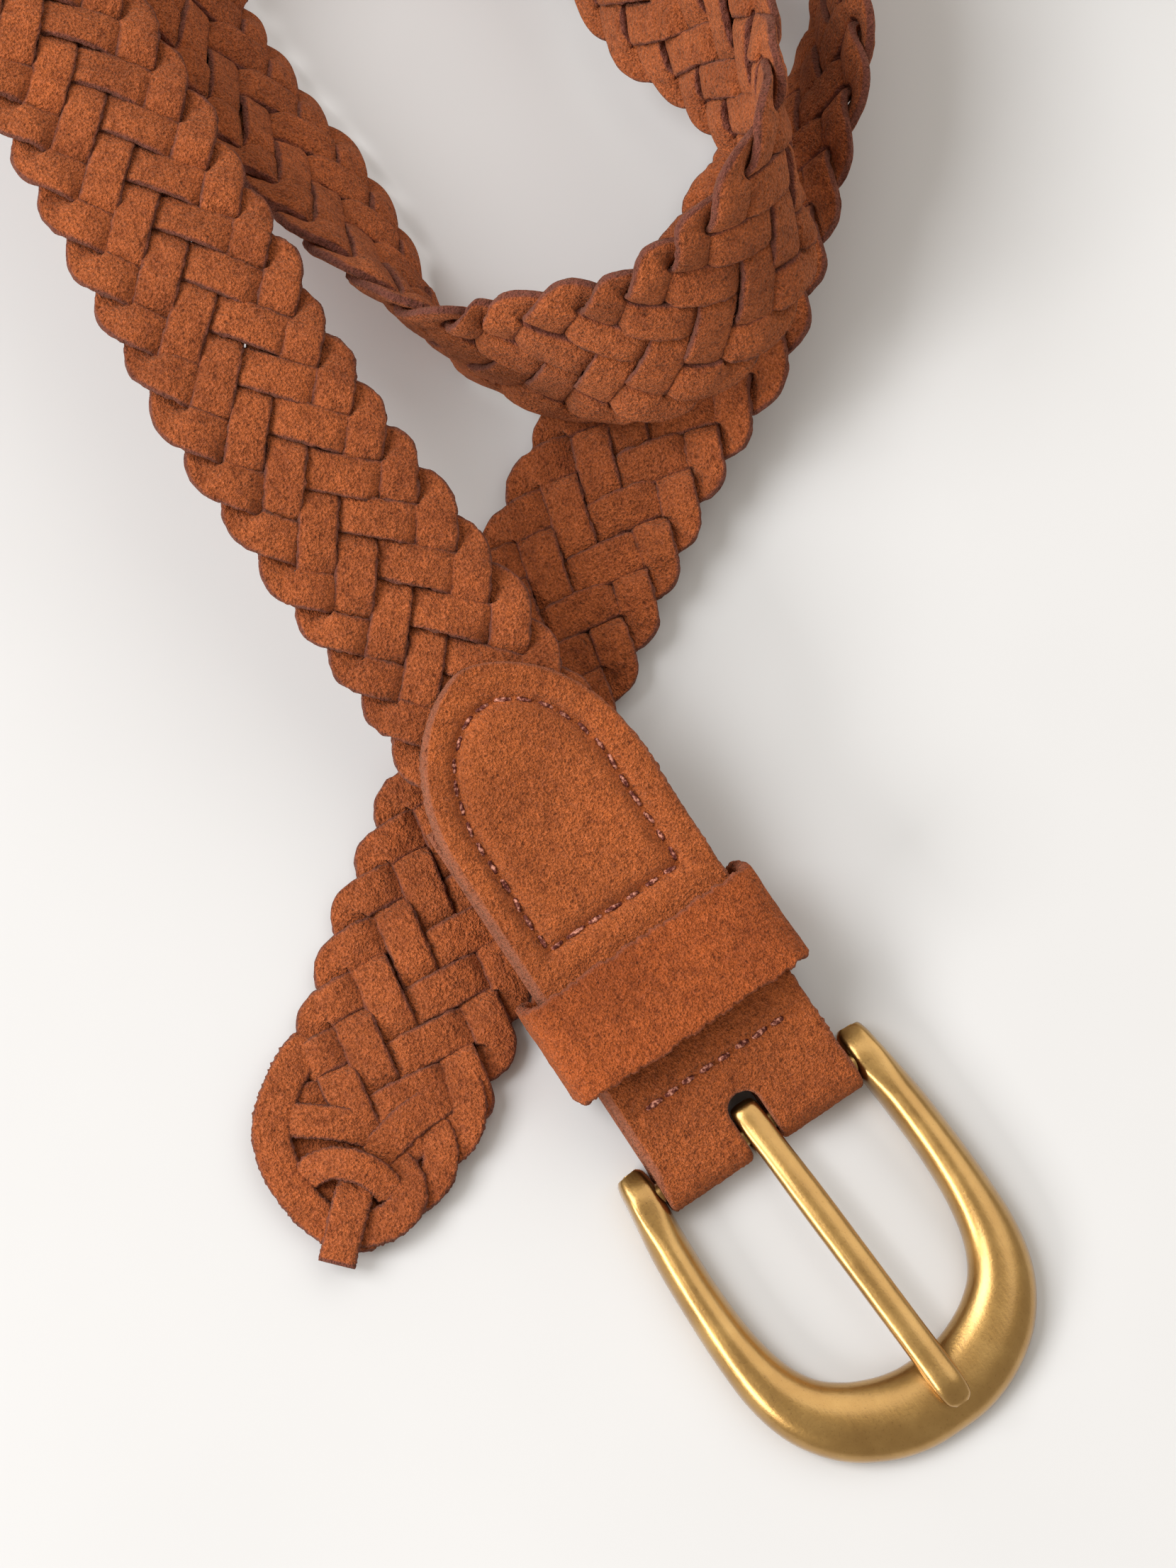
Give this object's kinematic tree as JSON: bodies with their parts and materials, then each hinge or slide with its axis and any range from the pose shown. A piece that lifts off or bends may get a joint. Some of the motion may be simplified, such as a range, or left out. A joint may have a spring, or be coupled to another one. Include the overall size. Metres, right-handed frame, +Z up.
{
  "type": "braided suede belt",
  "caption": "Braided suede strap lying in two loose loops, with a folded sewn end piece, a sliding keeper and a horseshoe buckle with a swinging prong.",
  "frame": {"origin": "on the table, under the middle of the belt's bounding box", "axes": "+X from the buckle along the folded end piece into the strap, +Z up from the table, +Y to the left of the strap's run"},
  "size_m": [0.3098, 0.1927, 0.0507],
  "materials": {
    "suede": "napped suede",
    "tab_suede": "napped suede",
    "brass": "antique satin",
    "thread": "twisted thread"
  },
  "bodies": {
    "strap": {"chape": "tab_suede", "tab_outline_thread": "thread", "tab_cross_thread": "thread", "fold_seam_thread": "thread", "strand_1": "suede", "strand_2": "suede", "strand_3": "suede", "strand_4": "suede", "strand_5": "suede", "strand_6": "suede", "strand_7": "suede", "tail_border": "suede", "tail_wrap": "tab_suede", "tail_end": "suede"},
    "buckle": {"buckle_frame": "brass", "buckle_bar": "brass"},
    "prong": {"prong": "brass"},
    "keeper": {"keeper": "tab_suede", "keeper_seam_thread": "thread"}
  },
  "joints": [
    {"name": "buckle_swing", "type": "hinge", "parent": "strap", "child": "buckle", "pos_m": [-0.1041, 0.03377, 0.0035], "axis": [0, 1, 0], "range_deg": [-45, 30]},
    {"name": "prong_swing", "type": "hinge", "parent": "buckle", "child": "prong", "pos_m": [-0.1041, 0.03377, 0.0035], "axis": [0, 1, 0], "range_deg": [0, 65]},
    {"name": "keeper_slide", "type": "slide", "parent": "strap", "child": "keeper", "axis": [0.9728, 0, 0.2317], "range_m": [-0.005, 0.004]}
  ]
}
